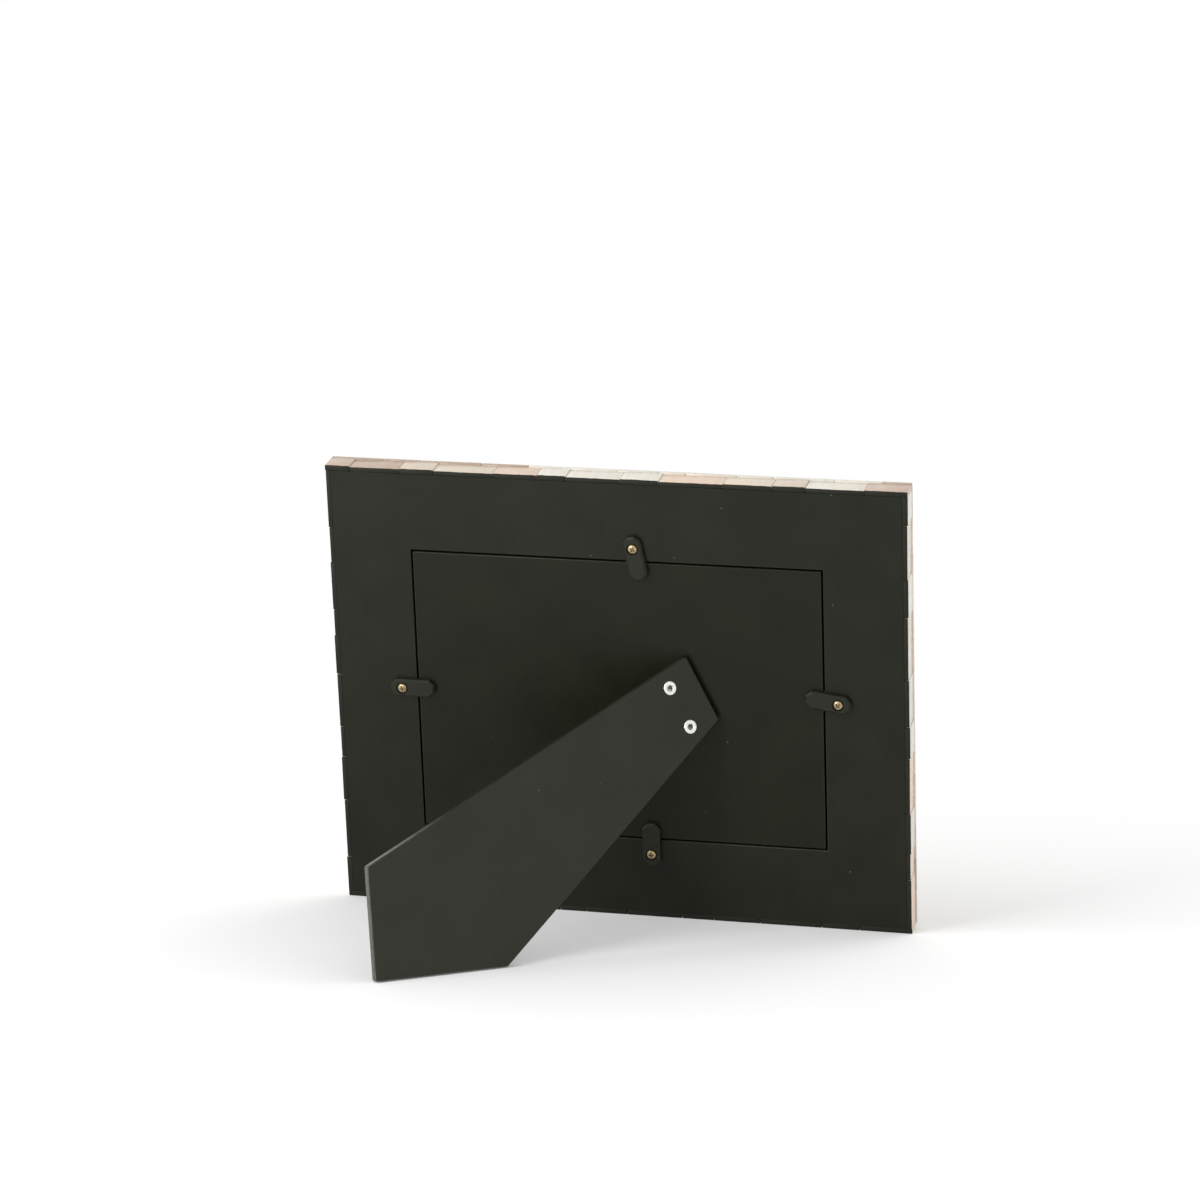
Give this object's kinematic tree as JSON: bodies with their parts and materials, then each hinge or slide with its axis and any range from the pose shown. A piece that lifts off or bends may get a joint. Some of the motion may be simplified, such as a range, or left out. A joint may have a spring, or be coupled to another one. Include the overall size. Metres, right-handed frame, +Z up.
{
  "type": "easel back photo frame",
  "caption": "Tiled landscape photo frame with a glazed opening, a back panel held by turn buttons and a hinged two-way easel leg.",
  "frame": {"origin": "on the floor, below the middle of the bounding box", "axes": "+X to the right of someone who looks at the picture, +Y from the picture side to the easel leg's side, +Z up"},
  "size_m": [0.22, 0.133, 0.1741],
  "materials": {
    "black_board": "satin",
    "pale_tile": "satin",
    "clear_glass": "polished",
    "blank_paper": "matte",
    "black_plastic": "satin",
    "brass": "satin",
    "plated_steel": "satin",
    "bright_eyelet": "polished"
  },
  "bodies": {
    "frame": {"front_board": "black_board", "rear_board": "black_board", "front_tiles_top": "pale_tile", "front_tiles_bottom": "pale_tile", "front_tiles_left": "pale_tile", "front_tiles_right": "pale_tile", "edge_tiles_top": "pale_tile", "edge_tiles_bottom": "pale_tile", "edge_tiles_left": "pale_tile", "edge_tiles_right": "pale_tile", "glass_pane": "clear_glass", "picture_sheet": "blank_paper", "back_panel": "black_board", "turn_button_screws": "brass", "hinge_leaf_panel": "plated_steel", "hinge_pin": "plated_steel", "panel_rivets": "plated_steel"},
    "leg": {"easel_leg": "black_board", "hinge_leaf_leg": "plated_steel", "leg_eyelets": "bright_eyelet"},
    "button_top": {"turn_button_top": "black_plastic"},
    "button_bottom": {"turn_button_bottom": "black_plastic"},
    "button_left": {"turn_button_left": "black_plastic"},
    "button_right": {"turn_button_right": "black_plastic"}
  },
  "joints": [
    {"name": "leg_fold", "type": "hinge", "parent": "frame", "child": "leg", "pos_m": [-0.0272, -0.03755, 0.09091], "axis": [-0.4384, -0.1606, -0.8843], "range_deg": [0, 45]},
    {"name": "button_top_turn", "type": "hinge", "parent": "frame", "child": "button_top", "pos_m": [-0.0075, -0.02919, 0.14621], "axis": [0, 0.9839, -0.1787], "continuous": true},
    {"name": "button_bottom_turn", "type": "hinge", "parent": "frame", "child": "button_bottom", "pos_m": [-0.011, -0.05102, 0.02598], "axis": [0, 0.9839, -0.1787], "continuous": true},
    {"name": "button_left_turn", "type": "hinge", "parent": "frame", "child": "button_left", "pos_m": [0.0836, -0.03996, 0.08688], "axis": [0, 0.9839, -0.1787], "continuous": true},
    {"name": "button_right_turn", "type": "hinge", "parent": "frame", "child": "button_right", "pos_m": [-0.0836, -0.03941, 0.08993], "axis": [0, 0.9839, -0.1787], "continuous": true}
  ]
}
